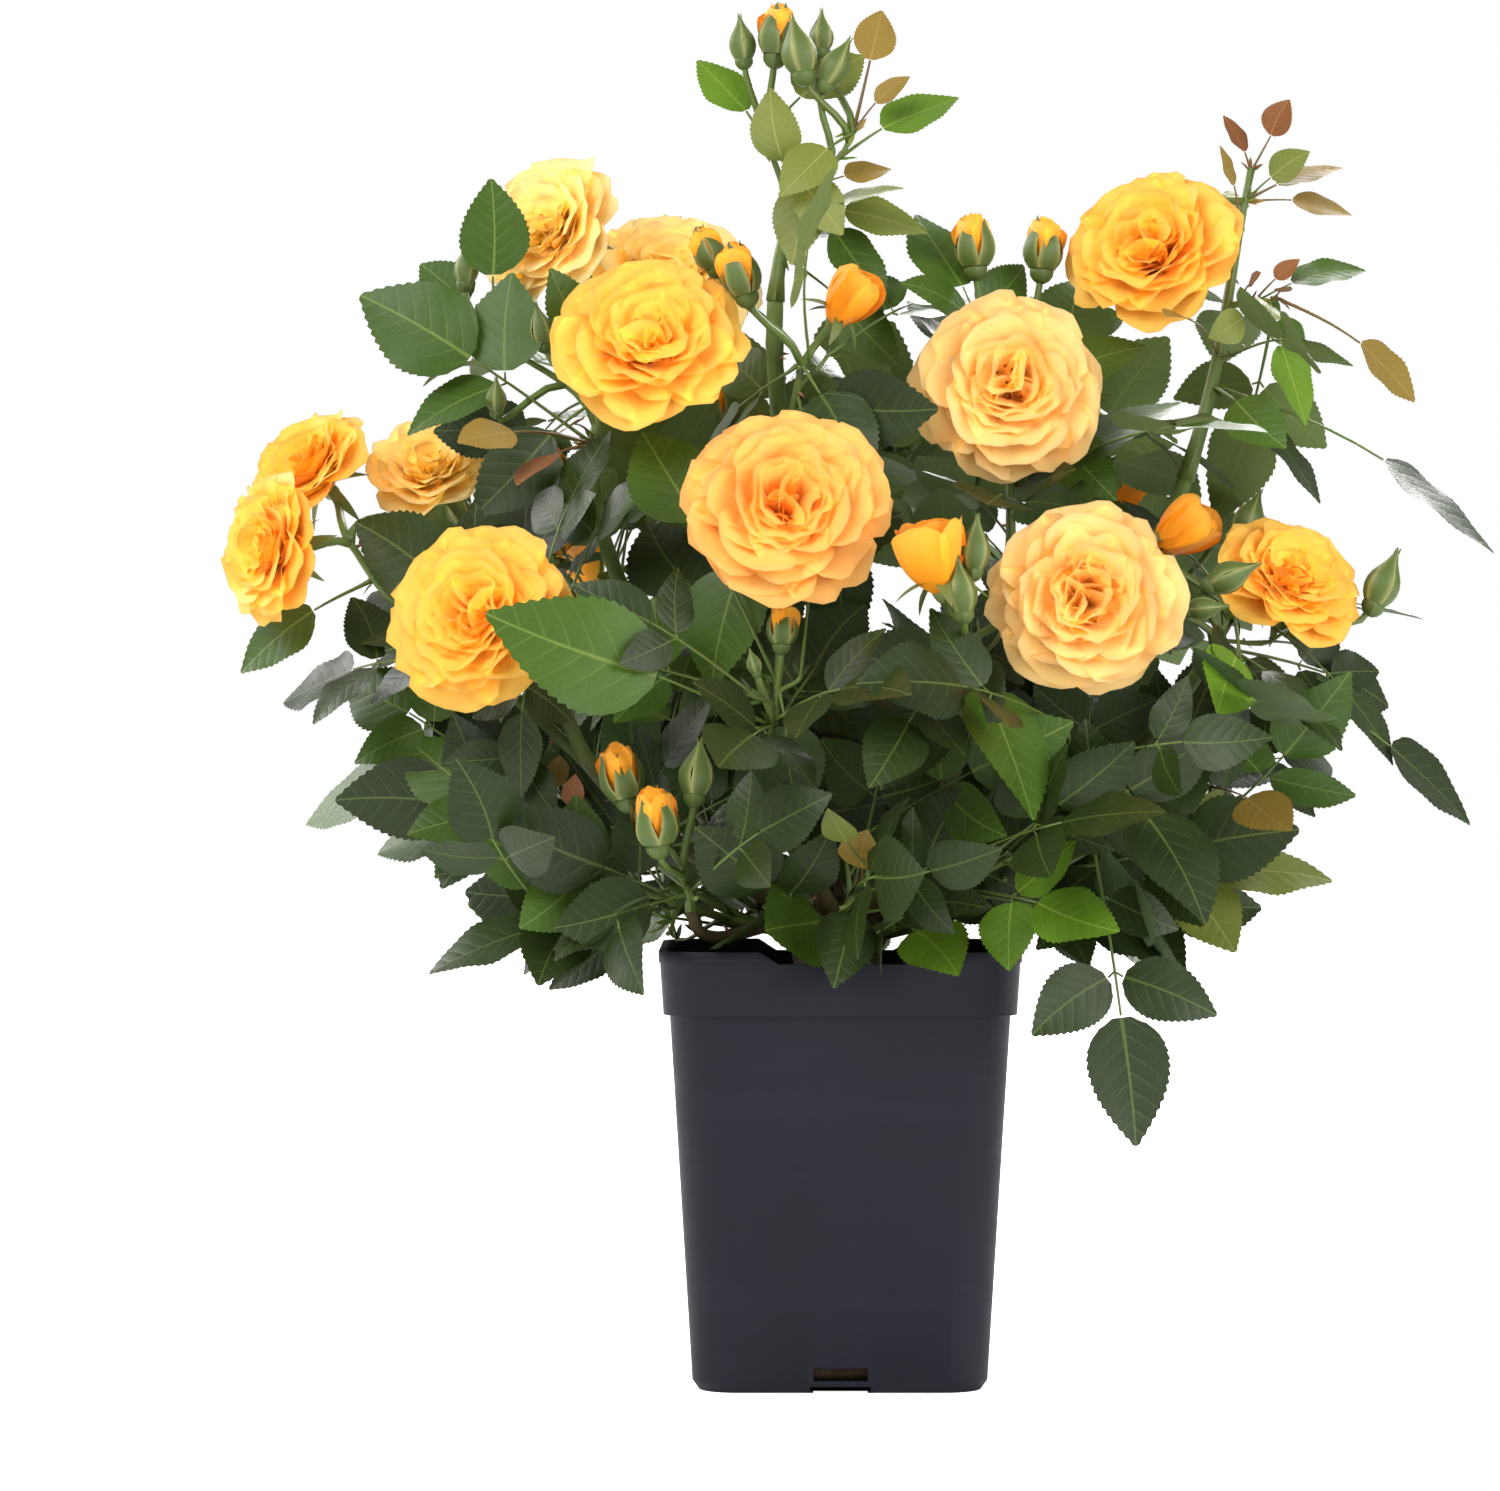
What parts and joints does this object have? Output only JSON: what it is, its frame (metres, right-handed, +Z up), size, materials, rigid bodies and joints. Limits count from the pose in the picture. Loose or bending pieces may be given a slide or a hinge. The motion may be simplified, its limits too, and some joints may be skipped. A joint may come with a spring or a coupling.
{
  "type": "potted rose bush",
  "caption": "Shrub rose in full bloom in a tall square nursery pot: arching green canes, glossy compound leaves, full yellow rosette flowers and pointed buds.",
  "frame": {"origin": "the middle of the pot's flat underside", "axes": "+Z up; -Y is the front, where most of the flowers face; +X is to the right seen from the front"},
  "size_m": [0.6446, 0.4478, 0.7029],
  "materials": {
    "pot": "satin moulded plastic",
    "soil": "rough damp compost",
    "bark": "rough bark",
    "cane": "smooth green bark",
    "petals": "soft matte petals",
    "foliage": "glossy leaves"
  },
  "bodies": {
    "root": {"bloom_back_high": "petals", "bloom_back_left": "petals", "bloom_back_low": "petals", "bloom_back_right": "petals", "bloom_cup_front": "petals", "bloom_cup_middle": "petals", "bloom_cup_right": "petals", "bloom_front_centre": "petals", "bloom_front_left": "petals", "bloom_front_right": "petals", "bloom_front_upper_left": "petals", "bloom_front_upper_right": "petals", "bloom_left_middle": "petals", "bloom_left_side_lower": "petals", "bloom_left_side_upper": "petals", "bloom_left_top": "petals", "bloom_left_top_back": "petals", "bloom_right_side": "petals", "bloom_right_top": "petals", "cane_back": "cane", "cane_back_left": "cane", "cane_back_right": "cane", "cane_centre": "cane", "cane_centre_right": "cane", "cane_far_left": "cane", "cane_left": "cane", "cane_middle": "cane", "cane_right_front": "cane", "cane_right_low": "cane", "cane_short_front": "cane", "cane_tall": "cane", "cane_tall_right": "cane", "cane_upper_left": "cane", "graft_union": "bark", "pot": "pot", "soil": "soil", "spray_back": "foliage", "spray_back_left": "foliage", "spray_back_right": "foliage", "spray_centre": "foliage", "spray_centre_right": "foliage", "spray_far_left": "foliage", "spray_left": "foliage", "spray_middle": "foliage", "spray_right_front": "foliage", "spray_right_low": "foliage", "spray_short_front": "foliage", "spray_skirt_back": "foliage", "spray_skirt_back_left": "foliage", "spray_skirt_back_right": "foliage", "spray_skirt_far_right": "foliage", "spray_skirt_front": "foliage", "spray_skirt_front_left": "foliage", "spray_skirt_front_right": "foliage", "spray_skirt_left": "foliage", "spray_skirt_right": "foliage", "spray_tall": "foliage", "spray_tall_right": "foliage", "spray_upper_left": "foliage"}
  },
  "joints": []
}
